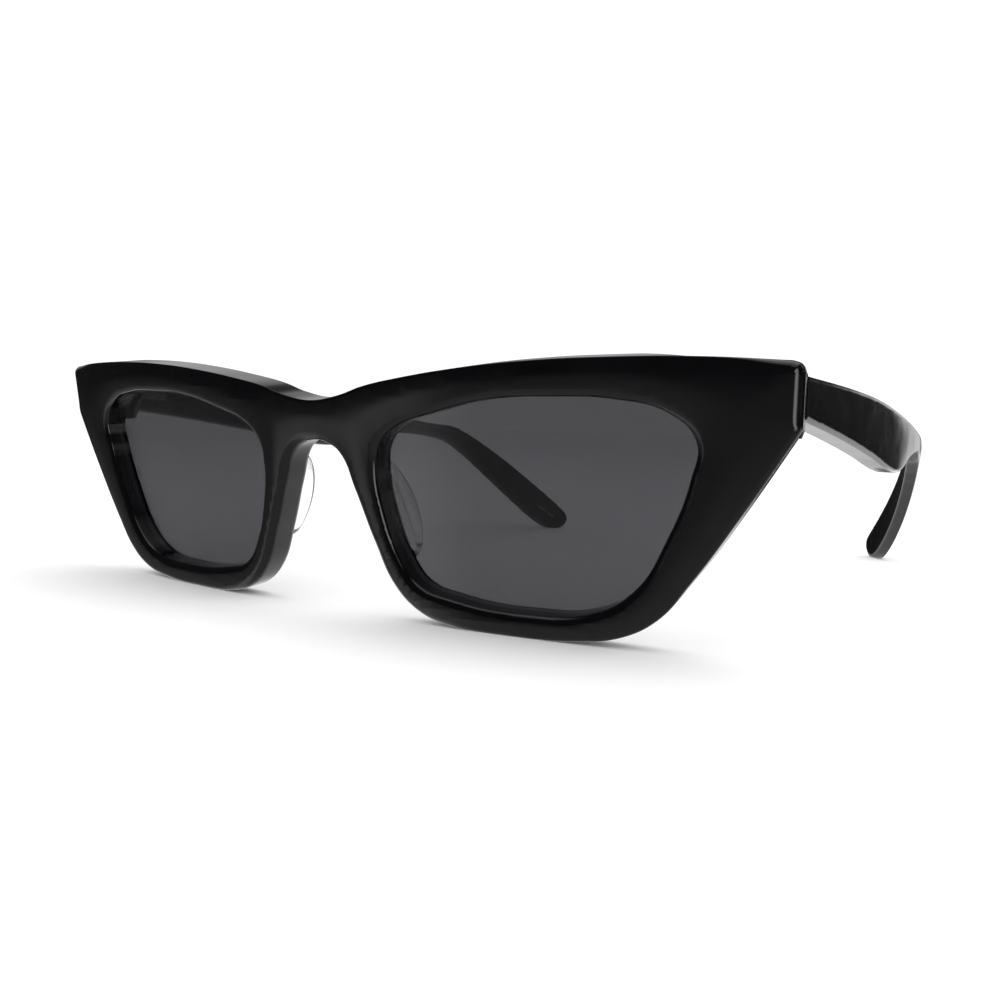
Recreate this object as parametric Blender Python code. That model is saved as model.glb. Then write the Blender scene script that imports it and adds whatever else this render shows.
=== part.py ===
"""Cat eye sunglasses: a thick acetate front with two sun lenses and clear nose pads, and two
folding temples on five-knuckle hinges.

Run it with: blender --background --python part.py
Blender works in metres; the sizes below are in millimetres and MM turns them into metres.
Axes: +X towards the wearer's left, the front faces -Y, +Z is up, and z = 0 is the table.
"""
import math

import bmesh
import bpy
from mathutils import Matrix, Vector

MM = 0.001

# Driving dimensions, in millimetres and degrees.
HALF_WIDTH = 74.2  # centre to the outer side of an end piece
FRONT_TILT = 8.0  # the top of the front leans forward of its foot by this angle
WRAP_DEPTH = 10.0  # how far the end pieces sit behind the bridge
BRIDGE_TOP = 34.0  # height of the bridge's top edge, measured up the front
FRONT_THICK = 6.0
LENS_THICK = 2.0
LENS_SETBACK = 2.8  # from the front face to the lens's front face
LENS_BITE = 0.7  # how far the lens edge reaches into the rim
GAP = 0.3  # assembly gap between pieces that touch
BUTT_GAP = 0.1  # gap at the butt joint when the temples are open
REST_FLAT = 0.25  # depth of the small flats that the rims and temple tips stand on

NOSE_PAD_X = 11.9
NOSE_PAD_HEIGHT = 17.0
NOSE_PAD_AXES = (2.2, 8.4, 4.6)  # half sizes across the rim, along it and behind it
NOSE_PAD_LEAN = 21.0

TEMPLE_OUTER_X = 72.8  # outer face of a temple at the joint
JOINT_Y = 16.2  # the plane where the end piece and the temple meet
JOINT_LOW = 29.8  # lowest height of the end piece's pad at that plane
PAD_INNER_X = 60.2  # inner side of that pad
PAD_DEPTH = 9.0  # depth of the pad's back in the flat front
LEVEL_START = 52.0  # outboard of here the front's edges turn level towards the end piece
LEVEL_END = 66.0

TEMPLE_THICK = 4.4  # at the hinge
TEMPLE_TIP_THICK = 2.8
TEMPLE_TOE = 0.037  # inward slope of the temple at the joint
TEMPLE_CURL = 3.6e-10  # and its growth towards the tip, with the fifth power of the distance
TEMPLE_RUN = 138.6  # distance from the joint to the centre of the tip's rounding, along Y
TIP_RADIUS = 3.2
TIP_CLEAR = 0.2  # the tip's lowest point goes this far into the table, where the flat is cut

KNUCKLE_R = 1.4
KNUCKLE_TALL = 0.96
KNUCKLE_STEP = 1.06
KNUCKLES = 5
SCREW_R = 0.65
SCREW_BORE_R = 0.70
HINGE_LOW = 32.3  # underside of the lowest knuckle
LEAF_THICK = 1.0
RIVET_R = 0.55
RIVET_HOLE_R = 0.85
RIVET_LEAF_HOLE_R = 0.62
RIVET_HEAD_R = 0.95
RIVET_HEAD = 0.35
ROUND_SIDES = 24

WIRE_HALF = 0.6  # half the side of the core wire
WIRE_SLOT_HALF = 0.9

# Half outline of the front, from the bridge's top to its underside: x, height up the front,
# and whether the edge turns a corner there.
FRONT_OUTLINE = [
    (5.7, 34.8, False), (10.6, 36.2, False), (17.2, 37.4, False), (27.0, 38.7, False),
    (38.0, 39.6, False), (50.0, 39.9, False), (62.0, 39.7, False), (74.2, 38.9, True),
    (73.9, 30.3, True), (66.7, 19.2, False), (60.0, 9.6, False), (55.6, 4.3, False),
    (50.5, 1.4, False), (43.5, 0.2, False), (33.0, 0.0, False), (24.0, 0.5, False),
    (18.2, 2.0, False), (13.9, 5.7, False), (10.6, 12.3, False), (7.3, 20.5, False),
    (5.0, 25.6, False), (2.4, 27.3, False),
]
BRIDGE_UNDERSIDE = 27.7

# Aperture of one rim: x, height up the front.
APERTURE = [
    (12.0, 23.5), (12.8, 27.3), (15.8, 30.0), (22.5, 32.2), (32.0, 34.2),
    (42.0, 34.6), (51.0, 34.1), (57.4, 32.4), (60.9, 28.9), (60.2, 23.8),
    (56.9, 15.4), (52.6, 8.3), (47.0, 4.7), (36.0, 3.6), (24.0, 4.7),
    (18.4, 6.4), (15.2, 10.6), (13.0, 16.6),
]

# Side outline of a temple: distance behind the joint, height above the table.
TEMPLE_TOP = [
    (0.0, 37.9), (28.0, 37.2), (46.0, 36.2), (58.0, 35.0), (70.0, 33.6), (84.0, 31.9), (98.0, 30.4),
]
TEMPLE_BOTTOM = [
    (100.0, 26.4), (93.0, 27.3), (86.0, 27.5), (79.0, 27.1), (72.5, 26.1), (67.0, 24.7),
    (61.5, 24.1), (54.0, 24.6), (40.0, 26.9), (20.0, 29.7), (0.0, 32.0),
]
BEND_TOP = (108.0, 28.9)
BEND_BOTTOM = (106.0, 24.6)
TIP_ANGLE = 38.0  # the tip runs down from the level by this angle

TILT_SIN = math.sin(math.radians(FRONT_TILT))
TILT_COS = math.cos(math.radians(FRONT_TILT))
AXIS_X = TEMPLE_OUTER_X - TEMPLE_THICK - KNUCKLE_R - BUTT_GAP
AXIS_Y = JOINT_Y + KNUCKLE_R + BUTT_GAP
HINGE_HIGH = HINGE_LOW + KNUCKLE_STEP * (KNUCKLES - 1) + KNUCKLE_TALL
HINGE_MID = (HINGE_LOW + HINGE_HIGH) / 2
LENS_BACK = LENS_SETBACK + LENS_THICK

MATERIALS = {
    "black_acetate": ((0.006, 0.006, 0.007, 1.0), 0.12, 0.0, 0.0),
    "sun_lens": ((0.07, 0.07, 0.075, 1.0), 0.04, 0.0, 0.9),
    "clear_pad": ((0.9, 0.9, 0.9, 1.0), 0.08, 0.0, 0.9),
    "hinge_steel": ((0.55, 0.55, 0.56, 1.0), 0.28, 1.0, 0.0),
    "core_steel": ((0.45, 0.45, 0.46, 1.0), 0.35, 1.0, 0.0),
}


def clear_scene():
    for old in list(bpy.data.objects):
        bpy.data.objects.remove(old)


def make_collection(name):
    collection = bpy.data.collections.new(name)
    bpy.context.scene.collection.children.link(collection)
    return collection


def make_material(name):
    colour, roughness, metallic, transmission = MATERIALS[name]
    material = bpy.data.materials.new(name)
    material.use_nodes = True
    shader = material.node_tree.nodes["Principled BSDF"]
    shader.inputs["Base Color"].default_value = colour
    shader.inputs["Roughness"].default_value = roughness
    shader.inputs["Metallic"].default_value = metallic
    shader.inputs["Transmission Weight"].default_value = transmission
    return material


def smooth_step(value, low, high):
    t = min(max((value - low) / (high - low), 0.0), 1.0)
    return t * t * (3.0 - 2.0 * t)


def bezier_plate(outlines, near, far, offset=0.0, resolution=3):
    """A flat plate between two depths, as a bmesh. Each outline is a loop of (x, y, corner),
    the first one counter-clockwise and any further ones its holes; the plate lies in XY with
    depth running towards -Z."""
    curve = bpy.data.curves.new("plate", "CURVE")
    curve.dimensions = "2D"
    curve.fill_mode = "BOTH"
    curve.extrude = (far - near) / 2
    curve.offset = offset
    curve.resolution_u = resolution
    for points in outlines:
        spline = curve.splines.new("BEZIER")
        spline.bezier_points.add(len(points) - 1)
        for knot, (x, y, corner) in zip(spline.bezier_points, points):
            knot.co = (x, y, 0.0)
            knot.handle_left_type = "VECTOR" if corner else "AUTO"
            knot.handle_right_type = knot.handle_left_type
        spline.use_cyclic_u = True
    holder = bpy.data.objects.new("plate", curve)
    bpy.context.scene.collection.objects.link(holder)
    depsgraph = bpy.context.evaluated_depsgraph_get()
    mesh = bpy.data.meshes.new_from_object(holder.evaluated_get(depsgraph))
    bpy.data.objects.remove(holder)
    bpy.data.curves.remove(curve)
    plate = bmesh.new()
    plate.from_mesh(mesh)
    bpy.data.meshes.remove(mesh)
    bmesh.ops.remove_doubles(plate, verts=plate.verts, dist=1e-4)
    bmesh.ops.dissolve_limit(plate, angle_limit=math.radians(0.2), verts=plate.verts,
                             edges=plate.edges)
    bmesh.ops.translate(plate, verts=plate.verts, vec=(0, 0, -(near + far) / 2))
    return plate


def box_mesh(low, high):
    box = bmesh.new()
    bmesh.ops.create_cube(box, size=1.0)
    size = Vector(high) - Vector(low)
    middle = (Vector(high) + Vector(low)) / 2
    bmesh.ops.scale(box, verts=box.verts, vec=size)
    bmesh.ops.translate(box, verts=box.verts, vec=middle)
    return box


def rod_mesh(start, end, radius, sides=ROUND_SIDES):
    """A solid cylinder between two points."""
    start, end = Vector(start), Vector(end)
    along = end - start
    rod = bmesh.new()
    bmesh.ops.create_cone(rod, cap_ends=True, segments=sides, radius1=radius, radius2=radius,
                          depth=along.length)
    turn = along.to_track_quat("Z", "Y").to_matrix().to_4x4()
    bmesh.ops.transform(rod, matrix=Matrix.Translation((start + end) / 2) @ turn,
                        verts=rod.verts)
    return rod


def to_object(shape, name):
    mesh = bpy.data.meshes.new(name)
    shape.to_mesh(mesh)
    shape.free()
    result = bpy.data.objects.new(name, mesh)
    bpy.context.scene.collection.objects.link(result)
    return result


def combine(shape, others, operation):
    """Join or cut bmesh shapes one after another with exact booleans."""
    body = to_object(shape, "combine_body")
    for other in others:
        tool = to_object(other, "combine_tool")
        step = body.modifiers.new("step", "BOOLEAN")
        step.operation = operation
        step.object = tool
        step.solver = "EXACT"
        depsgraph = bpy.context.evaluated_depsgraph_get()
        mesh = bpy.data.meshes.new_from_object(body.evaluated_get(depsgraph))
        body.modifiers.clear()
        body.data = mesh
        bpy.data.objects.remove(tool)
    result = bmesh.new()
    result.from_mesh(body.data)
    bpy.data.objects.remove(body)
    bmesh.ops.remove_doubles(result, verts=result.verts, dist=1e-4)
    return result


def slice_across(shape, axis, places):
    """Add edge loops where planes across the axis meet the shape, so that it can bend."""
    for place in places:
        point = [0.0, 0.0, 0.0]
        point[axis] = place
        normal = [0.0, 0.0, 0.0]
        normal[axis] = 1.0
        everything = shape.verts[:] + shape.edges[:] + shape.faces[:]
        bmesh.ops.bisect_plane(shape, geom=everything, dist=1e-5, plane_co=point,
                               plane_no=normal)


def cut_off(shape, point, normal):
    """Remove what lies on the normal's side of a plane and close the cut with a flat face."""
    everything = shape.verts[:] + shape.edges[:] + shape.faces[:]
    cut = bmesh.ops.bisect_plane(shape, geom=everything, dist=1e-5, plane_co=point,
                                 plane_no=normal, clear_outer=True)
    edges = [item for item in cut["geom_cut"] if isinstance(item, bmesh.types.BMEdge)]
    bmesh.ops.holes_fill(shape, edges=edges)


def triangulated(shape):
    bmesh.ops.triangulate(shape, faces=shape.faces)
    bmesh.ops.recalc_face_normals(shape, faces=shape.faces)
    return shape


# ---- The front, first flat (x, height, -depth) and then wrapped and tilted -------------------

def front_base():
    """How far the front is raised so that its rest flats lie at z = 0."""
    lowest_x = 30.0
    return WRAP_DEPTH * (lowest_x / HALF_WIDTH) ** 2 * TILT_SIN + REST_FLAT


def wrap_front(shape):
    """Bend the flat front into its wrap, tilt it, and level the end pieces."""
    base = front_base()
    for vert in shape.verts:
        x, height, depth = vert.co.x, vert.co.y, -vert.co.z
        wrap = WRAP_DEPTH * (x / HALF_WIDTH) ** 2
        slope = 2 * WRAP_DEPTH * x / HALF_WIDTH ** 2
        stretch = math.sqrt(1 + slope ** 2)
        level = smooth_step(abs(x), LEVEL_START, LEVEL_END)
        through = (TILT_COS * (1 - level) + level) / stretch
        face = wrap * TILT_COS - (height - BRIDGE_TOP) * TILT_SIN
        if depth > FRONT_THICK + GAP + 0.01 and abs(x) > PAD_INNER_X - 0.01:
            depth = (JOINT_Y - face) / through
        rise = depth * TILT_SIN * (1 - level)
        vert.co = (x - depth * slope / stretch, face + depth * through,
                   height * TILT_COS + wrap * TILT_SIN + rise - base)
    return shape


def full_outline():
    """The whole front's outline, counter-clockwise seen from the front."""
    left = list(FRONT_OUTLINE)
    right = [(-x, height, corner) for x, height, corner in reversed(FRONT_OUTLINE)]
    loop = [(0.0, BRIDGE_TOP, False)] + left + [(0.0, BRIDGE_UNDERSIDE, False)] + right
    return list(reversed(loop))


def rim_outline(side):
    """One rim's aperture, counter-clockwise seen from the front."""
    points = [(side * x, height, False) for x, height in APERTURE]
    if side > 0:
        points.reverse()
    return points


def lens_groove(side):
    """The ring cut into a rim for the lens's edge."""
    ring = rim_plate(side, LENS_SETBACK - GAP, LENS_BACK + GAP, LENS_BITE + GAP)
    middle = rim_plate(side, LENS_SETBACK - 2 * GAP, LENS_BACK + 2 * GAP, -GAP)
    return combine(ring, [middle], "DIFFERENCE")


def rim_plate(side, near, far, offset):
    return bezier_plate([rim_outline(side)], near, far, offset)


def end_pad(side):
    """The thick pad behind an end piece, whose back face is the butt joint."""
    low = (JOINT_LOW + front_base() - WRAP_DEPTH * TILT_SIN) / TILT_COS
    outline = [
        (PAD_INNER_X, low + 3.0, True), (PAD_INNER_X + 3.0, low, True),
        (HALF_WIDTH - 0.7, low, True), (HALF_WIDTH - 0.3, low + 1.0, True),
        (HALF_WIDTH - 0.02, 38.8, True), (PAD_INNER_X, 39.4, True),
    ]
    points = [(side * x, height, corner) for x, height, corner in outline]
    if side < 0:
        points.reverse()
    return bezier_plate([points], FRONT_THICK - 0.6, PAD_DEPTH)


def bend_places(low, high, step):
    count = round((high - low) / step)
    return [low + step * number for number in range(1, count)]


def front_frame():
    shape = bezier_plate([full_outline(), rim_outline(1), rim_outline(-1)], 0.0, FRONT_THICK)
    shape = combine(shape, [lens_groove(1), lens_groove(-1)], "DIFFERENCE")
    shape = combine(shape, [end_pad(1), end_pad(-1)], "UNION")
    slice_across(shape, 0, bend_places(-78.0, 78.0, 6.0))
    wrap_front(shape)
    cut_off(shape, (0, 0, 0), (0, 0, -1))
    pockets = []
    for side in (1, -1):
        pockets += front_pockets(side)
    shape = combine(shape, pockets, "DIFFERENCE")
    return triangulated(shape)


def lens(side):
    shape = rim_plate(side, LENS_SETBACK, LENS_BACK, LENS_BITE)
    slice_across(shape, 0, bend_places(-78.0, 78.0, 6.0))
    return triangulated(wrap_front(shape))


def nose_pad(side):
    """Half an ellipsoid on the back of the nasal rim, with its flat side to the rim."""
    shape = bmesh.new()
    bmesh.ops.create_uvsphere(shape, u_segments=20, v_segments=14, radius=1.0)
    bmesh.ops.scale(shape, verts=shape.verts, vec=NOSE_PAD_AXES)
    lean = math.radians(NOSE_PAD_LEAN)
    bmesh.ops.rotate(shape, verts=shape.verts, cent=(0, 0, 0),
                     matrix=Matrix.Rotation(lean * side, 3, "Z"))
    centre = (side * NOSE_PAD_X, NOSE_PAD_HEIGHT, -(FRONT_THICK + GAP))
    bmesh.ops.translate(shape, verts=shape.verts, vec=centre)
    cut_off(shape, (0, 0, centre[2]), (0, 0, 1))
    return triangulated(wrap_front(shape))


# ---- The temples, first flat (distance behind the joint, height, outward) ---------------------

def temple_inward(distance):
    return TEMPLE_TOE * distance + TEMPLE_CURL * distance ** 5


def bend_temple(shape, side):
    """Turn the flat temple upright and curve it inward; side is +1 for the left one."""
    for vert in shape.verts:
        distance, height, outward = vert.co.x, vert.co.y, vert.co.z
        thin = 1.0 - (1.0 - TEMPLE_TIP_THICK / TEMPLE_THICK) * smooth_step(distance, 20, 130)
        x = TEMPLE_OUTER_X - temple_inward(distance) + outward * thin
        vert.co = (side * x, JOINT_Y + BUTT_GAP + distance, height)
    return shape


def tip_centre():
    return Vector((TEMPLE_RUN, TIP_RADIUS - TIP_CLEAR))


def tip_points():
    """The rounded tip, from its upper side round to its lower side."""
    centre = tip_centre()
    points = []
    for turn in (90, 45, 0, -45, -90):
        angle = math.radians(turn - TIP_ANGLE)
        points.append((centre.x + TIP_RADIUS * math.cos(angle),
                       centre.y + TIP_RADIUS * math.sin(angle), False))
    return points


def temple_outline():
    loop = [(x, z, x == 0.0) for x, z in TEMPLE_TOP] + [BEND_TOP + (False,)]
    loop += tip_points() + [BEND_BOTTOM + (False,)]
    loop += [(x, z, x == 0.0) for x, z in TEMPLE_BOTTOM]
    return list(reversed(loop))


def wire_outline(half, start, end_short):
    """The core wire's path, half wide to each side: level with the temple's slope, then down
    the tip."""
    centre = tip_centre()
    down = math.radians(TIP_ANGLE)
    end = centre - Vector((math.cos(down), -math.sin(down))) * end_short
    belly = Vector((60.0, 30.0))
    first = Vector((0.0, HINGE_MID)).lerp(belly, start / belly.x)
    path = [first, belly, Vector((84.0, 29.7)), Vector((97.0, 28.6)), Vector((105.5, 27.0)), end]
    upper, lower = [], []
    for number, point in enumerate(path):
        before = path[max(number - 1, 0)]
        after = path[min(number + 1, len(path) - 1)]
        across = (after - before).normalized().orthogonal() * half
        upper.append((point.x + across.x, point.y + across.y, True))
        lower.append((point.x - across.x, point.y - across.y, True))
    return lower + list(reversed(upper))


def temple_slices():
    return bend_places(0.0, 144.0, 6.0)


def temple(side):
    shape = bezier_plate([temple_outline()], 0.0, TEMPLE_THICK)
    middle = TEMPLE_THICK / 2
    slot = bezier_plate([wire_outline(WIRE_SLOT_HALF, -2.0, 5.0)], middle - WIRE_SLOT_HALF,
                        middle + WIRE_SLOT_HALF)
    shape = combine(shape, [slot], "DIFFERENCE")
    slice_across(shape, 0, temple_slices())
    bend_temple(shape, side)
    cut_off(shape, (0, 0, 0), (0, 0, -1))
    shape = combine(shape, temple_pockets(side), "DIFFERENCE")
    return triangulated(shape)


def core_wire(side):
    middle = TEMPLE_THICK / 2
    start = LEAF_LENGTH + GAP * 2
    shape = bezier_plate([wire_outline(WIRE_HALF, start, 5.5)], middle - WIRE_HALF,
                         middle + WIRE_HALF)
    slice_across(shape, 0, temple_slices())
    return triangulated(bend_temple(shape, side))


# ---- The hinges, built for the left side and mirrored for the right ---------------------------

LEAF_LENGTH = 12.5
LEAF_LOW = HINGE_LOW + 0.7
LEAF_HIGH = HINGE_HIGH - 0.7
FRONT_LEAF_INNER_X = 59.8
FRONT_LEAF_OUTER_X = AXIS_X + KNUCKLE_R
TEMPLE_LEAF_INNER_X = TEMPLE_OUTER_X - TEMPLE_THICK
FRONT_RIVETS = {"inner": 61.1, "outer": 64.0}
FRONT_RIVET_DEPTH = 3.6
TEMPLE_RIVETS = {"front": 6.2, "rear": 10.4}
TEMPLE_RIVET_DEPTH = 2.5


def mirrored(shape, side):
    if side < 0:
        bmesh.ops.scale(shape, verts=shape.verts, vec=(-1, 1, 1))
        bmesh.ops.reverse_faces(shape, faces=shape.faces)
    return shape


def knuckle_span(number):
    low = HINGE_LOW + KNUCKLE_STEP * number
    return low, low + KNUCKLE_TALL


def toed(shape):
    """Turn a piece that lies along the temple's inner face by the temple's toe-in."""
    turn = Matrix.Rotation(math.atan(TEMPLE_TOE), 3, "Z")
    bmesh.ops.rotate(shape, verts=shape.verts, cent=(AXIS_X, AXIS_Y, 0), matrix=turn)
    return shape


def front_pockets(side):
    """Recess and blind holes for the front leaf, in the back of an end piece."""
    recess = box_mesh(
        (FRONT_LEAF_INNER_X - GAP, JOINT_Y - LEAF_THICK - GAP, LEAF_LOW - GAP),
        (FRONT_LEAF_OUTER_X + BUTT_GAP, JOINT_Y + 1.0, LEAF_HIGH + GAP))
    knuckle_recess = box_mesh(
        (AXIS_X - KNUCKLE_R - GAP, JOINT_Y - LEAF_THICK / 2 - GAP, HINGE_LOW - GAP),
        (FRONT_LEAF_OUTER_X + BUTT_GAP, JOINT_Y + 1.0, HINGE_HIGH + GAP))
    cuts = [recess, knuckle_recess]
    for x in FRONT_RIVETS.values():
        cuts.append(rod_mesh((x, JOINT_Y - FRONT_RIVET_DEPTH - GAP, HINGE_MID),
                             (x, JOINT_Y, HINGE_MID), RIVET_HOLE_R))
    return [mirrored(cut, side) for cut in cuts]


def temple_pockets(side):
    """Recess and blind holes for the temple leaf, in the temple's inner face."""
    inner = TEMPLE_LEAF_INNER_X
    recess = box_mesh(
        (inner - 2.0, JOINT_Y - 1.0, LEAF_LOW - GAP),
        (inner + LEAF_THICK + GAP, JOINT_Y + LEAF_LENGTH + GAP, LEAF_HIGH + GAP))
    cuts = [toed(recess)]
    for distance in TEMPLE_RIVETS.values():
        y = JOINT_Y + distance
        cuts.append(toed(rod_mesh((inner, y, HINGE_MID),
                                  (inner + TEMPLE_RIVET_DEPTH + GAP, y, HINGE_MID),
                                  RIVET_HOLE_R)))
    return [mirrored(cut, side) for cut in cuts]


def front_hinge(side):
    leaf = box_mesh((FRONT_LEAF_INNER_X, JOINT_Y - LEAF_THICK, LEAF_LOW),
                    (FRONT_LEAF_OUTER_X, JOINT_Y, LEAF_HIGH))
    additions = []
    for number in range(0, KNUCKLES, 2):
        low, high = knuckle_span(number)
        additions.append(box_mesh((AXIS_X - KNUCKLE_R, JOINT_Y - LEAF_THICK / 2, low),
                                  (AXIS_X + KNUCKLE_R, AXIS_Y, high)))
        additions.append(rod_mesh((AXIS_X, AXIS_Y, low), (AXIS_X, AXIS_Y, high), KNUCKLE_R))
    leaf = combine(leaf, additions, "UNION")
    holes = [rod_mesh((AXIS_X, AXIS_Y, HINGE_LOW - 1), (AXIS_X, AXIS_Y, HINGE_HIGH + 1),
                      SCREW_BORE_R)]
    for x in FRONT_RIVETS.values():
        holes.append(rod_mesh((x, JOINT_Y - 2, HINGE_MID), (x, JOINT_Y + 1, HINGE_MID),
                              RIVET_LEAF_HOLE_R))
    return triangulated(mirrored(combine(leaf, holes, "DIFFERENCE"), side))


def temple_hinge(side):
    inner = TEMPLE_LEAF_INNER_X
    leaf = toed(box_mesh((inner, AXIS_Y - KNUCKLE_R + 0.2, LEAF_LOW),
                         (inner + LEAF_THICK, JOINT_Y + LEAF_LENGTH, LEAF_HIGH)))
    additions = []
    for number in range(1, KNUCKLES, 2):
        low, high = knuckle_span(number)
        additions.append(toed(box_mesh((AXIS_X, AXIS_Y - KNUCKLE_R + 0.2, low),
                                       (inner + LEAF_THICK / 2, AXIS_Y + KNUCKLE_R, high))))
        additions.append(rod_mesh((AXIS_X, AXIS_Y, low), (AXIS_X, AXIS_Y, high), KNUCKLE_R))
    leaf = combine(leaf, additions, "UNION")
    holes = [rod_mesh((AXIS_X, AXIS_Y, HINGE_LOW - 1), (AXIS_X, AXIS_Y, HINGE_HIGH + 1),
                      SCREW_BORE_R)]
    for distance in TEMPLE_RIVETS.values():
        y = JOINT_Y + distance
        holes.append(toed(rod_mesh((inner - 1, y, HINGE_MID),
                                   (inner + LEAF_THICK + 1, y, HINGE_MID),
                                   RIVET_LEAF_HOLE_R)))
    return triangulated(mirrored(combine(leaf, holes, "DIFFERENCE"), side))


def hinge_screw(side):
    head_low = HINGE_HIGH + 0.06
    head_high = head_low + 0.5
    head = rod_mesh((AXIS_X, AXIS_Y, head_low), (AXIS_X, AXIS_Y, head_high), 1.1)
    shank = rod_mesh((AXIS_X, AXIS_Y, HINGE_LOW), (AXIS_X, AXIS_Y, head_low + 0.2), SCREW_R)
    screw = combine(head, [shank], "UNION")
    slot = box_mesh((AXIS_X - 2, AXIS_Y - 0.15, head_high - 0.25),
                    (AXIS_X + 2, AXIS_Y + 0.15, head_high + 1))
    return triangulated(mirrored(combine(screw, [slot], "DIFFERENCE"), side))


def rivet(inner_point, into, depth):
    """A blind rivet: its head stands on the leaf and its shank runs into the acetate."""
    inner_point, into = Vector(inner_point), Vector(into)
    under_head = inner_point - into * 0.05
    head = rod_mesh(under_head - into * RIVET_HEAD, under_head, RIVET_HEAD_R, 16)
    shank = rod_mesh(under_head - into * 0.1, inner_point + into * depth, RIVET_R, 16)
    return combine(head, [shank], "UNION")


def front_rivet(side, x):
    shape = rivet((x, JOINT_Y, HINGE_MID), (0, -1, 0), FRONT_RIVET_DEPTH)
    return triangulated(mirrored(shape, side))


def temple_rivet(side, distance):
    shape = rivet((TEMPLE_LEAF_INNER_X, JOINT_Y + distance, HINGE_MID), (1, 0, 0),
                  TEMPLE_RIVET_DEPTH)
    return triangulated(mirrored(toed(shape), side))


# ---- Assembly ---------------------------------------------------------------------------------

def add_part(shape, name, material, collection, pivot=None):
    """Make a named object from a shape in millimetres, with its origin on the pivot."""
    origin = pivot.location if pivot else Vector((0, 0, 0))
    bmesh.ops.scale(shape, verts=shape.verts, vec=(MM, MM, MM))
    bmesh.ops.translate(shape, verts=shape.verts, vec=-origin)
    mesh = bpy.data.meshes.new(name)
    shape.to_mesh(mesh)
    shape.free()
    mesh.materials.append(material)
    mesh.shade_smooth()
    mesh.set_sharp_from_angle(angle=math.radians(30))
    part = bpy.data.objects.new(name, mesh)
    collection.objects.link(part)
    if pivot:
        part.parent = pivot
    return part


def add_pivot(side_name, side, collection):
    pivot = bpy.data.objects.new("pivot_" + side_name, None)
    pivot.location = (side * AXIS_X * MM, AXIS_Y * MM, HINGE_MID * MM)
    pivot.empty_display_size = 0.01
    collection.objects.link(pivot)
    return pivot


def centre_on_table(objects):
    """Put the middle of the footprint at the origin."""
    bpy.context.view_layer.update()
    ys = []
    for item in objects:
        if item.type == "MESH":
            ys += [(item.matrix_world @ vert.co).y for vert in item.data.vertices]
    shift = -(min(ys) + max(ys)) / 2
    for item in objects:
        if item.parent is None:
            item.location.y += shift


def build():
    clear_scene()
    parts = make_collection("cat_eye_sunglasses")
    materials = {name: make_material(name) for name in MATERIALS}
    acetate, steel = materials["black_acetate"], materials["hinge_steel"]
    add_part(front_frame(), "front_frame", acetate, parts)
    for side_name, side in (("left", 1), ("right", -1)):
        pivot = add_pivot(side_name, side, parts)
        add_part(lens(side), "lens_" + side_name, materials["sun_lens"], parts)
        add_part(nose_pad(side), "nose_pad_" + side_name, materials["clear_pad"], parts)
        add_part(front_hinge(side), "front_hinge_" + side_name, steel, parts)
        add_part(hinge_screw(side), "hinge_screw_" + side_name, steel, parts)
        for place, x in FRONT_RIVETS.items():
            add_part(front_rivet(side, x), f"front_rivet_{side_name}_{place}", steel, parts)
        add_part(temple(side), "temple_" + side_name, acetate, parts, pivot)
        add_part(core_wire(side), "core_wire_" + side_name, materials["core_steel"], parts, pivot)
        add_part(temple_hinge(side), "temple_hinge_" + side_name, steel, parts, pivot)
        for place, distance in TEMPLE_RIVETS.items():
            add_part(temple_rivet(side, distance), f"temple_rivet_{side_name}_{place}", steel,
                     parts, pivot)
    centre_on_table(list(parts.objects))


build()
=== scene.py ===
import math

import bmesh
import bpy
import numpy as np
from mathutils import Matrix, Vector


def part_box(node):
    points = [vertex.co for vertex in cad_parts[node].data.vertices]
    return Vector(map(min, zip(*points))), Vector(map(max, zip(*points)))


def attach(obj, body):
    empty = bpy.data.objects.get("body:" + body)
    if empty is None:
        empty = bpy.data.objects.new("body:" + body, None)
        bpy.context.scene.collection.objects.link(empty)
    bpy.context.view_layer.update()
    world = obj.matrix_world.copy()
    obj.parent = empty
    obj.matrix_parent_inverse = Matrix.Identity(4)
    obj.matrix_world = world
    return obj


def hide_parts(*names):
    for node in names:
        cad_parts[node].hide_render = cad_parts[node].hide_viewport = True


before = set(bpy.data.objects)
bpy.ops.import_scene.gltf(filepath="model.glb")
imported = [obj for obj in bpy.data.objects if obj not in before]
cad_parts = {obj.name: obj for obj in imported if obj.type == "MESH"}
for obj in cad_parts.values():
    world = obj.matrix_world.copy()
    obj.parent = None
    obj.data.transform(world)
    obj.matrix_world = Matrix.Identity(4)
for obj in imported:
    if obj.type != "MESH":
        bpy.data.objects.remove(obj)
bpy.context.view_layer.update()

# Lengths below are in millimetres, in the same numbers as the CAD part.
MM = 0.001
CURVE_STEPS = 10  # straight pieces between two points of an outline
SPAN = 78.0  # half the width that is sliced, a little more than the front's
HALF_WIDTH = 74.2
TILT = math.radians(8.0)
WRAP_DEPTH = 10.0
BRIDGE_TOP = 34.0
FRONT_THICK = 6.0
LENS_THICK = 2.0
LENS_SETBACK = 2.8
LENS_BITE = 0.6  # a little less than the groove, so the lens edge stays inside it
GAP = 0.3
BUTT_GAP = 0.1
REST_FLAT = 0.25
REST_X = 30.0  # where the rims stand on the table
LEVEL_START = 52.0
LEVEL_END = 66.0
JOINT_Y = 16.2
JOINT_LOW = 29.8
PAD_INNER_X = 60.2
PAD_DEPTH = 9.0
NOSE_PAD_X = 11.9
NOSE_PAD_HEIGHT = 17.0
NOSE_PAD_AXES = (2.2, 8.4, 4.6)
NOSE_PAD_LEAN = 21.0
TEMPLE_THICK = 4.4
TEMPLE_TIP_THICK = 2.8
TEMPLE_TOE = 0.037
TEMPLE_OUTER_X = 72.8
TEMPLE_CURL = 3.6e-10
TEMPLE_RUN = 138.5
TIP_RADIUS = 3.2
TIP_CLEAR = 0.2
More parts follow.
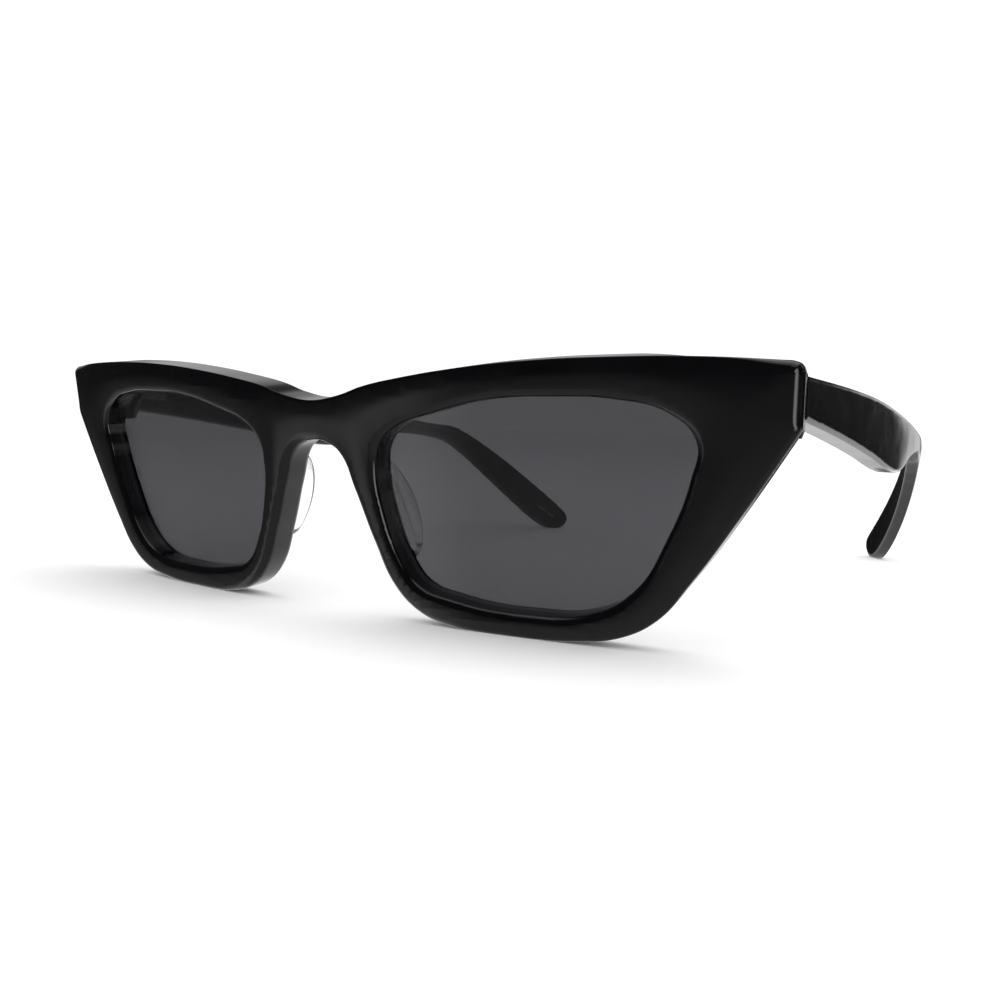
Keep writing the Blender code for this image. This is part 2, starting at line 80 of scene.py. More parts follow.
TIP_ANGLE = 38.0
TEMPLE_LEAD = 3.0  # how far the flat temple runs past the joint before it is cut there
KNUCKLE_R = 1.4
AXIS_Y = JOINT_Y + KNUCKLE_R + BUTT_GAP
EDGE_SOFT = 1.5  # the widest rounding of the front's edges
RIM_SOFT = 0.8
BROW_SOFT = 0.5
APERTURE_SOFT = 1.15
PAD_SOFT = 0.3
LENS_SOFT = 0.15
TEMPLE_SOFT = 0.8
CROWN = 0.35  # how far the front face falls away at its edges
CROWN_REACH = 6.5
TEMPLE_CROWN = 0.32
TEMPLE_CROWN_REACH = 3.4

FRONT_OUTLINE = [
    (5.7, 34.8, False), (10.6, 36.2, False), (17.2, 37.4, False), (27.0, 38.7, False),
    (38.0, 39.6, False), (50.0, 39.9, False), (62.0, 39.7, False), (72.7, 39.0, True),
    (73.8, 38.5, False), (74.2, 37.5, True),
    (73.9, 30.3, True), (66.7, 19.2, False), (60.0, 9.6, False), (55.6, 4.3, False),
    (50.5, 1.4, False), (43.5, 0.2, False), (33.0, 0.0, False), (24.0, 0.5, False),
    (18.2, 2.0, False), (13.9, 5.7, False), (10.6, 12.3, False), (7.3, 20.5, False),
    (5.0, 25.6, False), (2.4, 27.3, False),
]
BRIDGE_UNDERSIDE = 27.7
APERTURE = [
    (12.0, 23.5), (12.8, 27.3), (15.8, 30.0), (22.5, 32.2), (32.0, 34.2),
    (42.0, 34.6), (51.0, 34.1), (57.4, 32.4), (60.9, 28.9), (60.2, 23.8),
    (56.9, 15.4), (52.6, 8.3), (47.0, 4.7), (36.0, 3.6), (24.0, 4.7),
    (18.4, 6.4), (15.2, 10.6), (13.0, 16.6),
]
TEMPLE_TOP = [
    (0.0, 37.9), (28.0, 37.2), (46.0, 36.2), (58.0, 35.0), (70.0, 33.6), (84.0, 31.9), (98.0, 30.4),
]
TEMPLE_BOTTOM = [
    (100.0, 26.4), (93.0, 27.3), (86.0, 27.5), (79.0, 27.1), (72.5, 26.1), (67.0, 24.7),
    (61.5, 24.1), (54.0, 24.6), (40.0, 26.9), (20.0, 29.7), (0.0, 32.0),
]
BEND_TOP = (108.0, 28.9)
BEND_BOTTOM = (106.0, 24.6)

hinge_low, hinge_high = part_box("hinge_screw_left")
SHIFT_Y = (hinge_low[1] + hinge_high[1]) / 2 / MM - AXIS_Y


# ---- Shapes -----------------------------------------------------------------------------------

def smooth_step(value, start, end):
    t = min(max((value - start) / (end - start), 0.0), 1.0)
    return t * t * (3 - 2 * t)


def bezier_curve(outlines):
    """A flat curve through closed outlines of (x, y, corner) points."""
    curve = bpy.data.curves.new("outline", "CURVE")
    curve.dimensions = "2D"
    curve.resolution_u = CURVE_STEPS
    for points in outlines:
        spline = curve.splines.new("BEZIER")
        spline.bezier_points.add(len(points) - 1)
        for knot, (x, y, corner) in zip(spline.bezier_points, points):
            knot.co = (x, y, 0.0)
            knot.handle_left_type = "VECTOR" if corner else "AUTO"
            knot.handle_right_type = knot.handle_left_type
        spline.use_cyclic_u = True
    return curve


def curve_mesh(curve):
    """The mesh that a curve draws; the curve is used up."""
    holder = bpy.data.objects.new("outline", curve)
    bpy.context.scene.collection.objects.link(holder)
    depsgraph = bpy.context.evaluated_depsgraph_get()
    mesh = bpy.data.meshes.new_from_object(holder.evaluated_get(depsgraph))
    bpy.data.objects.remove(holder)
    bpy.data.curves.remove(curve)
    return mesh


def soft_plate(outlines, near, far, soft, offset=0.0):
    """A plate between two depths with rounded edges, as a bmesh lying in XY, depth along -Z."""
    curve = bezier_curve(outlines)
    curve.fill_mode = "BOTH"
    curve.extrude = (far - near) / 2 - soft
    curve.bevel_depth = soft
    curve.bevel_resolution = 4
    curve.offset = offset - soft
    mesh = curve_mesh(curve)
    plate = bmesh.new()
    plate.from_mesh(mesh)
    bpy.data.meshes.remove(mesh)
    bmesh.ops.remove_doubles(plate, verts=plate.verts, dist=1e-3)
    bmesh.ops.dissolve_limit(plate, angle_limit=math.radians(0.05), verts=plate.verts,
                             edges=plate.edges)
    bmesh.ops.translate(plate, verts=plate.verts, vec=(0, 0, -(near + far) / 2))
    return plate


def edge_loop(points):
    """The points of a closed outline once its curves are drawn."""
    curve = bezier_curve([points])
    curve.fill_mode = "NONE"
    mesh = curve_mesh(curve)
    chain = [(vert.co.x, vert.co.y) for vert in mesh.vertices]
    bpy.data.meshes.remove(mesh)
    return chain


def slice_across(shape, axis, low, high, step):
    """Cut every face along evenly spaced planes, so that it can bend there."""
    normal = Vector((0, 0, 0))
    normal[axis] = 1.0
    for number in range(1, round((high - low) / step)):
        everything = shape.verts[:] + shape.edges[:] + shape.faces[:]
        bmesh.ops.bisect_plane(shape, geom=everything, dist=1e-4,
                               plane_co=normal * (low + step * number), plane_no=normal)


def cut_flat(shape, point, normal):
    """Cut off what lies on the normal's side of a plane, leaving a flat face."""
    everything = shape.verts[:] + shape.edges[:] + shape.faces[:]
    cut = bmesh.ops.bisect_plane(shape, geom=everything, dist=1e-5, plane_co=point,
                                 plane_no=normal, clear_outer=True)
    edges = [item for item in cut["geom_cut"] if isinstance(item, bmesh.types.BMEdge)]
    bmesh.ops.holes_fill(shape, edges=edges)


def full_outline():
    left = list(FRONT_OUTLINE)
    right = [(-x, height, corner) for x, height, corner in reversed(FRONT_OUTLINE)]
    loop = [(0.0, BRIDGE_TOP, False)] + left + [(0.0, BRIDGE_UNDERSIDE, False)] + right
    return list(reversed(loop))


def rim_outline(side):
    points = [(side * x, height, False) for x, height in APERTURE]
    if side > 0:
        points.reverse()
    return points


def front_base():
    """The height of the table in the tilted front."""
    return WRAP_DEPTH * (REST_X / HALF_WIDTH) ** 2 * math.sin(TILT) + REST_FLAT


def nearest_on(loops, places):
    """For each place, the gap to the nearest point on any closed loop, that point, and the
    loop's number."""
    starts = np.array([point for loop in loops for point in loop])
    ends = np.array([point for loop in loops for point in loop[1:] + loop[:1]])
    numbers = np.array([number for number, loop in enumerate(loops) for _ in loop])
    along = ends - starts
    length = np.maximum((along ** 2).sum(1), 1e-12)
    found = []
    for place in np.array(places):
        share = np.clip(((place - starts) * along).sum(1) / length, 0.0, 1.0)
        points = starts + along * share[:, None]
        gaps = np.hypot(*(points - place).T)
        best = int(np.argmin(gaps))
        found.append((float(gaps[best]), tuple(map(float, points[best])), int(numbers[best])))
    return found


def edge_radius(number, x, height):
    """How round the front's edge is at a place on its outline (0) or an aperture (1, 2)."""
    x = abs(x)
    if number:
        return APERTURE_SOFT
    nasal = (1 - smooth_step(x, 16.0, 26.0)) * (1 - smooth_step(height, 26.0, 33.0))
    brow = smooth_step(height, 28.0, 34.0) * (1 - smooth_step(x, 62.0, 73.0))
    end = smooth_step(x, 65.0, 73.6) * smooth_step(height, 29.0, 31.5)
    return RIM_SOFT + (EDGE_SOFT - RIM_SOFT) * max(nasal, end) + (BROW_SOFT - RIM_SOFT) * brow


def finish_edges(shape, loops):
    """Give each edge of the front its own rounding and let the front face fall away softly
    towards it, as milling and barrel polishing leave it."""
    nearest = nearest_on(loops, [(vert.co.x, vert.co.y) for vert in shape.verts])
    for vert, (gap, (px, py), number) in zip(shape.verts, nearest):
        x, y, depth = vert.co.x, vert.co.y, -vert.co.z
        from_face = min(depth, FRONT_THICK - depth)
        radius = edge_radius(number, px, py)
        if gap < EDGE_SOFT + 0.02 and from_face < EDGE_SOFT + 0.02:
            share = radius / EDGE_SOFT
            vert.co.x, vert.co.y = px + (x - px) * share, py + (y - py) * share
            from_face *= share
            gap *= share
            depth = from_face if depth < FRONT_THICK / 2 else FRONT_THICK - from_face
        if depth < radius + 0.01:
            fall = CROWN * (1.0 - min(gap / CROWN_REACH, 1.0)) ** 2
            depth += fall * (1.0 - depth / (radius + 0.01))
        vert.co.z = -depth


def wrap_front(shape):
    """Bend the flat front into its wrap, tilt it, and level the end pieces."""
    base = front_base()
    for vert in shape.verts:
        x, height, depth = vert.co.x, vert.co.y, -vert.co.z
        wrap = WRAP_DEPTH * (x / HALF_WIDTH) ** 2
        slope = 2 * WRAP_DEPTH * x / HALF_WIDTH ** 2
        stretch = math.sqrt(1 + slope ** 2)
        level = smooth_step(abs(x), LEVEL_START, LEVEL_END)
        through = (math.cos(TILT) * (1 - level) + level) / stretch
        face = wrap * math.cos(TILT) - (height - BRIDGE_TOP) * math.sin(TILT)
        if depth > FRONT_THICK + GAP + 0.01 and abs(x) > PAD_INNER_X - 0.01:
            depth = min(depth, (JOINT_Y - face) / through)
        rise = depth * math.sin(TILT) * (1 - level)
        vert.co = (x - depth * slope / stretch, face + depth * through,
                   height * math.cos(TILT) + wrap * math.sin(TILT) + rise - base)


def temple_inward(distance):
    return TEMPLE_TOE * distance + TEMPLE_CURL * distance ** 5


def bend_temple(shape, side):
    """Turn the flat temple upright and curve it inward; side is +1 for the left one."""
    for vert in shape.verts:
        distance, height, outward = vert.co.x, vert.co.y, vert.co.z
        thin = 1.0 - (1.0 - TEMPLE_TIP_THICK / TEMPLE_THICK) * smooth_step(distance, 20, 130)
        x = TEMPLE_OUTER_X - temple_inward(distance) + outward * thin
        vert.co = (side * x, JOINT_Y + BUTT_GAP + distance, height)
    if side < 0:
        bmesh.ops.reverse_faces(shape, faces=shape.faces)


def floor_flat(shape):
    """Flatten whatever reaches below the table onto it."""
    for vert in shape.verts:
        vert.co.z = max(vert.co.z, 0.0)


def mirrored(shape, side):
    """The shape itself on the left side (+1), its mirror image on the right (-1)."""
    if side < 0:
        bmesh.ops.scale(shape, verts=shape.verts, vec=(-1, 1, 1))
        bmesh.ops.reverse_faces(shape, faces=shape.faces)
    return shape


def cut_away(shape, other):
    """The shape without the space that the other one fills."""
    body = to_object(shape, "cut_body")
    tool = to_object(other, "cut_tool")
    step = body.modifiers.new("step", "BOOLEAN")
    step.operation = "DIFFERENCE"
    step.object = tool
    step.solver = "EXACT"
    depsgraph = bpy.context.evaluated_depsgraph_get()
    mesh = bpy.data.meshes.new_from_object(body.evaluated_get(depsgraph))
    result = bmesh.new()
    result.from_mesh(mesh)
    bpy.data.meshes.remove(mesh)
    bpy.data.objects.remove(tool)
    bpy.data.objects.remove(body)
    return result


def to_object(shape, name):
    mesh = bpy.data.meshes.new(name)
    shape.to_mesh(mesh)
    shape.free()
    result = bpy.data.objects.new(name, mesh)
    bpy.context.scene.collection.objects.link(result)
    return result


def piece(shape, name, material, body, replaced=()):
    """Make a piece of the model from a shape in millimetres."""
    for vert in shape.verts:
        vert.co = Vector((vert.co.x, vert.co.y + SHIFT_Y, vert.co.z)) * MM
    bmesh.ops.remove_doubles(shape, verts=shape.verts, dist=2e-6)
    bmesh.ops.recalc_face_normals(shape, faces=shape.faces)
    made = to_object(shape, name)
    made.data.materials.append(material)
    made.data.shade_smooth()
    made.data.set_sharp_from_angle(angle=math.radians(45.0))
    weighted = made.modifiers.new("weighted_normals", "WEIGHTED_NORMAL")
    weighted.keep_sharp = True
    weighted.weight = 80
    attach(made, body)
    if replaced:
        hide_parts(*replaced)


def hinge_leaf_box(node):
    """The two corners of a hinge leaf in millimetres, in the CAD part's own frame."""
    low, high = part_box(node)
    return [[corner[0] / MM, corner[1] / MM - SHIFT_Y, corner[2] / MM] for corner in (low, high)]


def box_shape(low, high):
    shape = bmesh.new()
    bmesh.ops.create_cube(shape, size=1.0)
    low, high = Vector(low), Vector(high)
    bmesh.ops.scale(shape, verts=shape.verts, vec=high - low)
    bmesh.ops.translate(shape, verts=shape.verts, vec=(low + high) / 2)
    return shape


# ---- Materials --------------------------------------------------------------------------------

def new_material(name):
    material = bpy.data.materials.new(name)
    material.use_nodes = True
    tree = material.node_tree
    return material, tree, tree.nodes["Principled BSDF"]


def noise(tree, scale, detail=3.0, rough=0.5, stretch=(1, 1, 1)):
    place = tree.nodes.new("ShaderNodeTexCoord")
    mapping = tree.nodes.new("ShaderNodeMapping")
    mapping.inputs["Scale"].default_value = stretch
    tree.links.new(place.outputs["Object"], mapping.inputs["Vector"])
    texture = tree.nodes.new("ShaderNodeTexNoise")
    texture.inputs["Scale"].default_value = scale
    texture.inputs["Detail"].default_value = detail
    texture.inputs["Roughness"].default_value = rough
    tree.links.new(mapping.outputs["Vector"], texture.inputs["Vector"])
    return texture.outputs["Fac"]


def spread(tree, value, low, high, start=0.0, end=1.0):
    """Map a texture's value between start and end onto the range low to high."""
    step = tree.nodes.new("ShaderNodeMapRange")
    step.inputs["From Min"].default_value = start
    step.inputs["From Max"].default_value = end
    step.inputs["To Min"].default_value = low
    step.inputs["To Max"].default_value = high
    tree.links.new(value, step.inputs["Value"])
    return step.outputs["Result"]


def bump(tree, value, strength, distance, before=None):
    node = tree.nodes.new("ShaderNodeBump")
    node.inputs["Strength"].default_value = strength
    node.inputs["Distance"].default_value = distance
    tree.links.new(value, node.inputs["Height"])
    if before:
        tree.links.new(before, node.inputs["Normal"])
    return node.outputs["Normal"]


def acetate_material():
    """Black cellulose acetate, barrel polished: deep gloss with a faint waviness and haze."""
    material, tree, shader = new_material("black_acetate")
    mix = tree.nodes.new("ShaderNodeMix")
    mix.data_type = "RGBA"
    mix.inputs["A"].default_value = (0.0008, 0.0009, 0.0013, 1)
    mix.inputs["B"].default_value = (0.0022, 0.0023, 0.0030, 1)
    cloud = noise(tree, 60.0, 2.0)
    tree.links.new(cloud, mix.inputs["Factor"])
    tree.links.new(mix.outputs["Result"], shader.inputs["Base Color"])
    haze = noise(tree, 220.0, 4.0, 0.6)
    tree.links.new(spread(tree, haze, 0.07, 0.15, 0.3, 0.7), shader.inputs["Roughness"])
    shader.inputs["IOR"].default_value = 1.48
    shader.inputs["Specular IOR Level"].default_value = 0.5
    wave = noise(tree, 110.0, 1.0)
    fine = noise(tree, 2600.0, 2.0, 0.6)
    normal = bump(tree, wave, 0.10, 0.0006)
    normal = bump(tree, fine, 0.05, 0.00002, normal)
    tree.links.new(normal, shader.inputs["Normal"])
    return material


def lens_material():
    """Grey sun lens: passes about 8 percent of the light and has a hard polished coat."""
    material, tree, shader = new_material("sun_lens")
    mix = tree.nodes.new("ShaderNodeMix")
    mix.data_type = "RGBA"
    mix.inputs["A"].default_value = (0.060, 0.060, 0.066, 1)
    mix.inputs["B"].default_value = (0.065, 0.065, 0.071, 1)
    tree.links.new(noise(tree, 25.0, 1.0), mix.inputs["Factor"])
    tree.links.new(mix.outputs["Result"], shader.inputs["Base Color"])
    shader.inputs["Transmission Weight"].default_value = 1.0
    shader.inputs["IOR"].default_value = 1.5
    shader.inputs["Specular IOR Level"].default_value = 0.45
    haze = noise(tree, 400.0, 3.0)
    tree.links.new(spread(tree, haze, 0.0, 0.006, 0.35, 0.7), shader.inputs["Roughness"])
    wave = noise(tree, 45.0, 0.0)
    tree.links.new(bump(tree, wave, 0.02, 0.0003), shader.inputs["Normal"])
    return material


def clear_material():
    """Clear moulded acetate of the nose pads, with a little cloudiness in the skin."""
    material, tree, shader = new_material("clear_pad")
    mix = tree.nodes.new("ShaderNodeMix")
    mix.data_type = "RGBA"
    mix.inputs["A"].default_value = (0.93, 0.94, 0.93, 1)
    mix.inputs["B"].default_value = (0.98, 0.98, 0.97, 1)
    tree.links.new(noise(tree, 300.0, 2.0), mix.inputs["Factor"])
    tree.links.new(mix.outputs["Result"], shader.inputs["Base Color"])
    shader.inputs["Transmission Weight"].default_value = 1.0
    shader.inputs["IOR"].default_value = 1.47
    haze = noise(tree, 900.0, 3.0)
    tree.links.new(spread(tree, haze, 0.03, 0.10, 0.3, 0.7), shader.inputs["Roughness"])
    tree.links.new(bump(tree, noise(tree, 500.0, 2.0), 0.06, 0.0001), shader.inputs["Normal"])
    return material


def steel_material(name, tone, low, high, stretch):
    """Fine satin steel: brushed one way, with slightly uneven tone."""
    material, tree, shader = new_material(name)
    brush = noise(tree, 900.0, 4.0, 0.65, stretch)
    mix = tree.nodes.new("ShaderNodeMix")
    mix.data_type = "RGBA"
    mix.inputs["A"].default_value = (tone * 0.82, tone * 0.82, tone * 0.84, 1)
    mix.inputs["B"].default_value = (tone * 1.08, tone * 1.07, tone * 1.06, 1)
    tree.links.new(brush, mix.inputs["Factor"])
    tree.links.new(mix.outputs["Result"], shader.inputs["Base Color"])
    shader.inputs["Metallic"].default_value = 1.0
    tree.links.new(spread(tree, brush, low, high, 0.3, 0.7), shader.inputs["Roughness"])
    tree.links.new(bump(tree, brush, 0.25, 0.00003), shader.inputs["Normal"])
    return material


def foil_material():
    """Hot-stamped gold foil, slightly worn."""
    material, tree, shader = new_material("gold_foil")
    wear = noise(tree, 3000.0, 4.0, 0.7)
    mix = tree.nodes.new("ShaderNodeMix")
    mix.data_type = "RGBA"
    mix.inputs["A"].default_value = (0.42, 0.28, 0.07, 1)
    mix.inputs["B"].default_value = (0.83, 0.60, 0.22, 1)
    tree.links.new(wear, mix.inputs["Factor"])
    tree.links.new(mix.outputs["Result"], shader.inputs["Base Color"])
    shader.inputs["Metallic"].default_value = 1.0
    tree.links.new(spread(tree, wear, 0.2, 0.45, 0.3, 0.7), shader.inputs["Roughness"])
    tree.links.new(bump(tree, wear, 0.3, 0.00002), shader.inputs["Normal"])
    return material


ACETATE = acetate_material()
LENS = lens_material()
CLEAR = clear_material()
LEAF_STEEL = steel_material("leaf_steel", 0.55, 0.22, 0.36, (1, 1, 14))
SCREW_STEEL = steel_material("screw_steel", 0.62, 0.18, 0.30, (1, 1, 10))
WIRE_STEEL = steel_material("wire_steel", 0.48, 0.25, 0.4, (1, 12, 1))
FOIL = foil_material()


# ---- The front --------------------------------------------------------------------------------

def end_pad(side):
    low = (JOINT_LOW + front_base() - WRAP_DEPTH * math.sin(TILT)) / math.cos(TILT)
    outline = [
        (PAD_INNER_X, low + 3.0, True), (PAD_INNER_X + 3.0, low, True),
        (HALF_WIDTH - 0.7, low, True), (HALF_WIDTH - 0.3, low + 1.0, True),
        (HALF_WIDTH - 0.03, 37.5, True), (73.7, 38.4, True),
        (72.7, 38.9, True), (PAD_INNER_X, 39.4, True),
    ]
    points = [(side * x, height, corner) for x, height, corner in outline]
    if side < 0:
        points.reverse()
    return soft_plate([points], FRONT_THICK - 2.0, PAD_DEPTH, PAD_SOFT)


def rear_recess(side):
    """The recess for the hinge leaf and knuckles in the back of an end piece."""
    low, high = hinge_leaf_box("front_hinge_left")
    cut = box_shape((low[0] - GAP, low[1] - GAP, low[2] - GAP),
                    (high[0] + BUTT_GAP, JOINT_Y + 1.0, high[2] + GAP))
    return mirrored(cut, side)


def front_shape():
    outlines = [full_outline(), rim_outline(1), rim_outline(-1)]
    shape = soft_plate(outlines, 0.0, FRONT_THICK, EDGE_SOFT)
    slice_across(shape, 0, -72.0, 72.0, 1.0)
    slice_across(shape, 1, -1.0, 41.0, 1.0)
    finish_edges(shape, [edge_loop(points) for points in outlines])
    wrap_front(shape)
    floor_flat(shape)
    return shape


piece(front_shape(), "acetate_front", ACETATE, "front", ["front_frame"])
for side, name in ((1, "left"), (-1, "right")):
    pad = end_pad(side)
    slice_across(pad, 0, -SPAN, SPAN, 1.5)
    wrap_front(pad)
    pad = cut_away(pad, rear_recess(side))
    piece(pad, "end_piece_" + name, ACETATE, "front")

    lens = soft_plate([rim_outline(side)], LENS_SETBACK, LENS_SETBACK + LENS_THICK, LENS_SOFT,
                      offset=LENS_BITE)
    slice_across(lens, 0, -SPAN, SPAN, 1.5)
    wrap_front(lens)
    piece(lens, "sun_lens_" + name, LENS, "front", ["lens_" + name])


def nose_pad_shape(side):
    shape = bmesh.new()
    bmesh.ops.create_uvsphere(shape, u_segments=56, v_segments=40, radius=1.0)
    bmesh.ops.scale(shape, verts=shape.verts, vec=NOSE_PAD_AXES)
    bmesh.ops.rotate(shape, verts=shape.verts, cent=(0, 0, 0),
                     matrix=Matrix.Rotation(math.radians(NOSE_PAD_LEAN) * side, 3, "Z"))
    centre = (side * NOSE_PAD_X, NOSE_PAD_HEIGHT, -FRONT_THICK + 0.02)
    bmesh.ops.translate(shape, verts=shape.verts, vec=centre)
    cut_flat(shape, (0, 0, -FRONT_THICK), (0, 0, 1))
    wrap_front(shape)
    return shape


for side, name in ((1, "left"), (-1, "right")):
    piece(nose_pad_shape(side), "clear_nose_pad_" + name, CLEAR, "front",
          ["nose_pad_" + name])


# ---- The temples ------------------------------------------------------------------------------

def tip_centre():
    return Vector((TEMPLE_RUN, TIP_RADIUS - TIP_CLEAR))


def tip_points():
    centre = tip_centre()
    points = []
    for turn in (90, 45, 0, -45, -90):
        angle = math.radians(turn - TIP_ANGLE)
        points.append((centre.x + TIP_RADIUS * math.cos(angle),
                       centre.y + TIP_RADIUS * math.sin(angle), False))
    return points


def temple_outline():
    loop = [(-TEMPLE_LEAD, 37.98, True)]
    loop += [(x, z, False) for x, z in TEMPLE_TOP + [BEND_TOP]]
    loop += tip_points()
    loop += [(x, z, False) for x, z in [BEND_BOTTOM] + TEMPLE_BOTTOM]
    loop += [(-TEMPLE_LEAD, 32.35, True)]
    return list(reversed(loop))


def crown_temple(shape):
    """Round the temple's outer face a little from top to bottom."""
    nearest = nearest_on([edge_loop(temple_outline())],
                         [(vert.co.x, vert.co.y) for vert in shape.verts])
    for vert, (gap, _, _) in zip(shape.verts, nearest):
        outward = vert.co.z
        if outward > -TEMPLE_SOFT - 0.01:
            fall = TEMPLE_CROWN * (1.0 - min(gap / TEMPLE_CROWN_REACH, 1.0)) ** 2
            vert.co.z -= fall * (1.0 + outward / (TEMPLE_SOFT + 0.01))


def temple_recess(side):
    """The recess for the hinge leaf in the temple's inner face."""
    low, high = hinge_leaf_box("temple_hinge_left")
    inner = TEMPLE_OUTER_X - TEMPLE_THICK
    cut = box_shape((inner - 2.0, JOINT_Y - 1.0, low[2] + 0.45),
                    (inner + 1.3, high[1] + GAP, high[2] - 0.45))
    bmesh.ops.rotate(cut, verts=cut.verts, cent=(inner - KNUCKLE_R - BUTT_GAP, AXIS_Y, 0),
                     matrix=Matrix.Rotation(math.atan(TEMPLE_TOE), 3, "Z"))
    return mirrored(cut, side)


for side, name in ((1, "left"), (-1, "right")):
    shape = soft_plate([temple_outline()], 0.0, TEMPLE_THICK, TEMPLE_SOFT)
    slice_across(shape, 0, 0.0, 144.0, 1.0)
    slice_across(shape, 1, 0.0, 39.0, 1.0)
    crown_temple(shape)
    cut_flat(shape, (0.0, 0.0, 0.0), (-1, 0, 0))
    bend_temple(shape, side)
    floor_flat(shape)
    shape = cut_away(shape, temple_recess(side))
    piece(shape, "acetate_temple_" + name, ACETATE, "temple_" + name,
          ["temple_" + name])


# A plain foil mark of two bars on the inner side of the right temple's tip.

def foil_shape(low, high, side):
    """A thin sheet on the temple's inner face between two distances, along the tip's middle."""
    centre = tip_centre()
    down = Vector((math.cos(math.radians(TIP_ANGLE)), -math.sin(math.radians(TIP_ANGLE))))
    across = Vector((-down.y, down.x))
    sheet = bmesh.new()
    rows = []
    for step in range(13):
        along = low + (high - low) * step / 12
        rows.append([])
        for aside in (-0.35, -0.15, 0.0, 0.15, 0.35):
            spot = centre - down * along + across * aside
            rows[-1].append(sheet.verts.new((spot.x, spot.y, -TEMPLE_THICK - 0.02)))
    for first, second in zip(rows, rows[1:]):
        for number in range(len(first) - 1):
            sheet.faces.new((first[number], first[number + 1], second[number + 1],
                             second[number]))
    thick = bmesh.ops.extrude_face_region(sheet, geom=sheet.faces[:])
    raised = [item for item in thick["geom"] if isinstance(item, bmesh.types.BMVert)]
    bmesh.ops.translate(sheet, verts=raised, vec=(0, 0, -0.03))
    bend_temple(sheet, side)
    return sheet


for number, (low, high) in enumerate(((1.0, 2.8), (3.5, 6.3))):
    piece(foil_shape(low, high, -1), "foil_bar_%d" % (number + 1), FOIL, "temple_right")


# ---- Metal nodes that keep their CAD shape ----------------------------------------------------

for node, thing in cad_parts.items():
    if "hinge_screw" in node:
        steel = SCREW_STEEL
    elif "hinge" in node or "rivet" in node:
        steel = LEAF_STEEL
    elif "core_wire" in node:
        steel = WIRE_STEEL
    else:
        continue
    for socket in thing.material_slots:
        socket.material = steel
    if not thing.material_slots:
        thing.data.materials.append(steel)


# ---- Floor, light and camera ------------------------------------------------------------------

def floor_piece():
    shape = bmesh.new()
    bmesh.ops.create_circle(shape, cap_ends=True, segments=96, radius=6.0)
    floor = to_object(shape, "studio_floor")
    material, tree, shader = new_material("white_table")
    shader.inputs["Base Color"].default_value = (0.97, 0.97, 0.97, 1)
    grain = noise(tree, 600.0, 2.0)
    tree.links.new(spread(tree, grain, 0.55, 0.65), shader.inputs["Roughness"])
    shader.inputs["Specular IOR Level"].default_value = 0.0
    floor.data.materials.append(material)
    floor.visible_glossy = False


floor_piece()


def area_light(name, place, target, size, power):
    light = bpy.data.lights.new(name, "AREA")
    light.shape = "RECTANGLE"
    light.size, light.size_y = size
    light.energy = power
    holder = bpy.data.objects.new(name, light)
    bpy.context.scene.collection.objects.link(holder)
    holder.location = place
    aim = Vector(target) - Vector(place)
    holder.rotation_euler = aim.to_track_quat("-Z", "Y").to_euler()
    holder.visible_camera = False


middle = Vector((0.0, -0.03, 0.02))
area_light("top_box", (0.0, 0.1, 0.8), middle, (0.8, 0.6), 1.4)
area_light("left_box", (0.7, 0.3, 0.5), middle, (0.4, 0.5), 0.6)

# What the polished surfaces mirror: soft patches of the studio, each with its range of the
# direction's X, Y and Z, its brightness and how soft its edges are.
STUDIO = [
    # floor in front, brighter the steeper the view down, and the sweep below the bridge
    ((-2, 2), (-2, 0.1), (-2, -0.16), 0.16, 0.12),
    ((-2, 2), (-2, 0.1), (-2, -0.4), 0.25, 0.16),
    ((-0.72, -0.47), (-2, 0.1), (-2, -0.12), 0.5, 0.09),
    # floor behind
    ((-2, 2), (0.1, 2), (-2, -0.15), 0.95, 0.045),
    # cards behind the near temple and beyond the far brow
    ((-0.11, 0.08), (0.1, 2), (-0.3, 0.2), 0.85, 0.03),
    ((-0.95, -0.35), (0.1, 2), (0.14, 0.5), 0.6, 0.12),
    # strip at the near front and the box overhead
    ((0.62, 0.86), (-2, 0.1), (-0.3, 0.3), 3.6, 0.06),
    ((-0.5, 0.5), (-0.6, 0.6), (0.75, 2), 1.2, 0.12),
]


def step_node(tree, value, middle, soft, low, high):
    node = tree.nodes.new("ShaderNodeMapRange")
    node.interpolation_type = "SMOOTHSTEP"
    node.inputs["From Min"].default_value = middle - soft
    node.inputs["From Max"].default_value = middle + soft
    node.inputs["To Min"].default_value = low
    node.inputs["To Max"].default_value = high
    tree.links.new(value, node.inputs["Value"])
    return node.outputs["Result"]


def join(tree, operation, first, second):
    node = tree.nodes.new("ShaderNodeMath")
    node.operation = operation
    for socket, value in zip(node.inputs, (first, second)):
        if isinstance(value, float):
            socket.default_value = value
        else:
            tree.links.new(value, socket)
    return node.outputs[0]


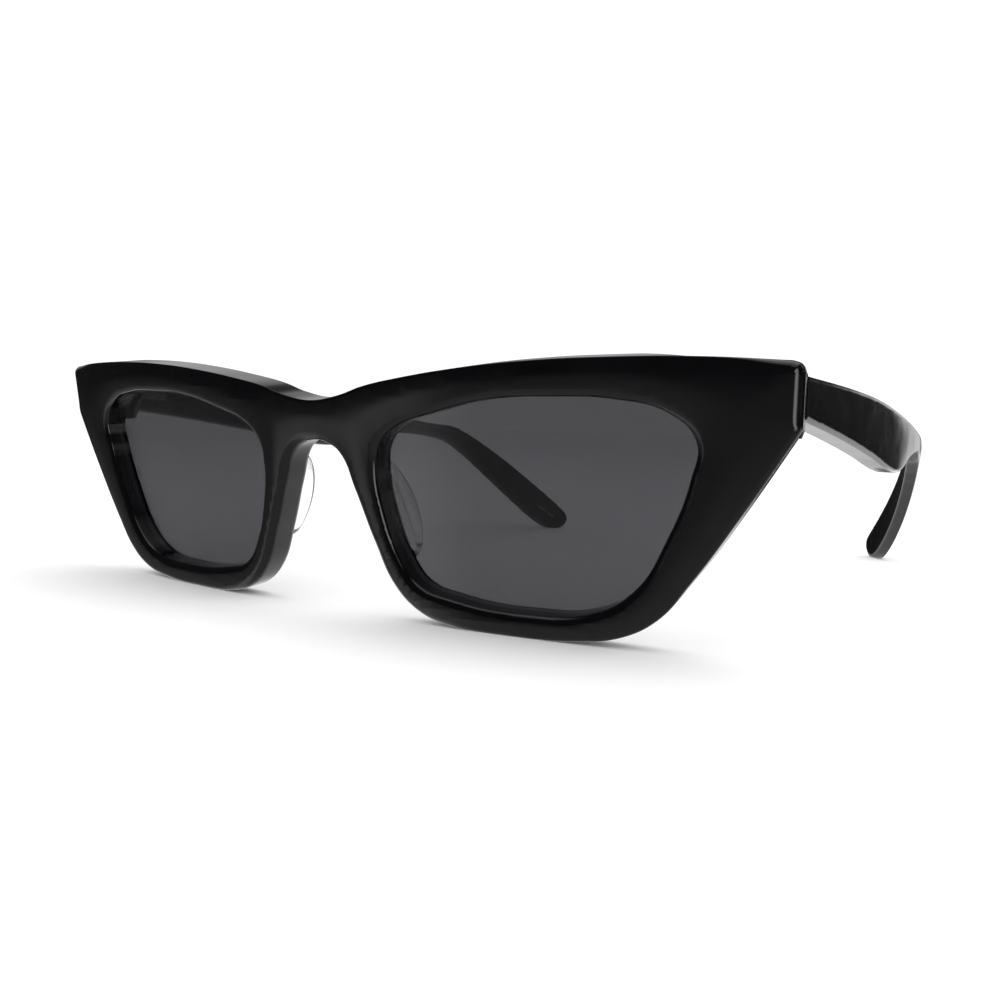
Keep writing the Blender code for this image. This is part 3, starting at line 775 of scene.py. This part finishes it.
def studio_world():
    """White all round for what is seen directly; a dark studio with soft bright patches for
    what is seen in reflections."""
    world = bpy.data.worlds.new("studio")
    bpy.context.scene.world = world
    world.use_nodes = True
    tree = world.node_tree
    place = tree.nodes.new("ShaderNodeTexCoord")
    parts = tree.nodes.new("ShaderNodeSeparateXYZ")
    tree.links.new(place.outputs["Generated"], parts.inputs[0])
    total = 0.03
    for *ranges, level, soft in STUDIO:
        patch = float(level)
        for axis, (low, high) in zip("XYZ", ranges):
            if low > -2:
                rising = step_node(tree, parts.outputs[axis], low, soft, 0.0, 1.0)
                patch = join(tree, "MULTIPLY", rising, patch)
            if high < 2:
                falling = step_node(tree, parts.outputs[axis], high, soft, 1.0, 0.0)
                patch = join(tree, "MULTIPLY", falling, patch)
        total = join(tree, "ADD", patch, total)
    mirrored = tree.nodes.new("ShaderNodeBackground")
    tree.links.new(total, mirrored.inputs["Color"])
    direct = tree.nodes["Background"]
    direct.inputs["Color"].default_value = (1, 1, 1, 1)
    direct.inputs["Strength"].default_value = 1.1
    path = tree.nodes.new("ShaderNodeLightPath")
    choose = tree.nodes.new("ShaderNodeMixShader")
    passed = join(tree, "SUBTRACT", 1.0, path.outputs["Is Transmission Ray"])
    tree.links.new(join(tree, "MULTIPLY", path.outputs["Is Glossy Ray"], passed),
                   choose.inputs["Fac"])
    tree.links.new(direct.outputs["Background"], choose.inputs[1])
    tree.links.new(mirrored.outputs["Background"], choose.inputs[2])
    tree.links.new(choose.outputs["Shader"], tree.nodes["World Output"].inputs["Surface"])


studio_world()

bpy.context.scene.view_settings.view_transform = "Standard"

SENSOR = 36.0
FOCAL = 0.8746 * SENSOR  # the photograph's lens
ENLARGE = 1.2  # and how much of its frame is left out round the object
AZIMUTH = math.radians(33.73)
ELEVATION = math.radians(4.04)
ROLL = math.radians(1.82)
DISTANCE = 195.0
AIM = Vector((0.0, -40.0, 20.0))
ASIDE = (8.35, -3.79)  # how far the camera stands right of and above the line to AIM
back = Vector((math.sin(AZIMUTH) * math.cos(ELEVATION),
               -math.cos(AZIMUTH) * math.cos(ELEVATION), math.sin(ELEVATION)))
right = (-back).cross(Vector((0, 0, 1))).normalized()
up = right.cross(-back)
right, up = (math.cos(ROLL) * right + math.sin(ROLL) * up,
             -math.sin(ROLL) * right + math.cos(ROLL) * up)
place = AIM + back * DISTANCE + right * ASIDE[0] + up * ASIDE[1]
lens_data = bpy.data.cameras.new("camera")
lens_data.lens = FOCAL * ENLARGE
lens_data.sensor_width = SENSOR
lens_data.clip_start = 0.01
camera = bpy.data.objects.new("camera", lens_data)
bpy.context.scene.collection.objects.link(camera)
turn = Matrix((right, up, back)).transposed().to_4x4()
camera.matrix_world = Matrix.Translation(place * MM) @ turn
bpy.context.scene.camera = camera
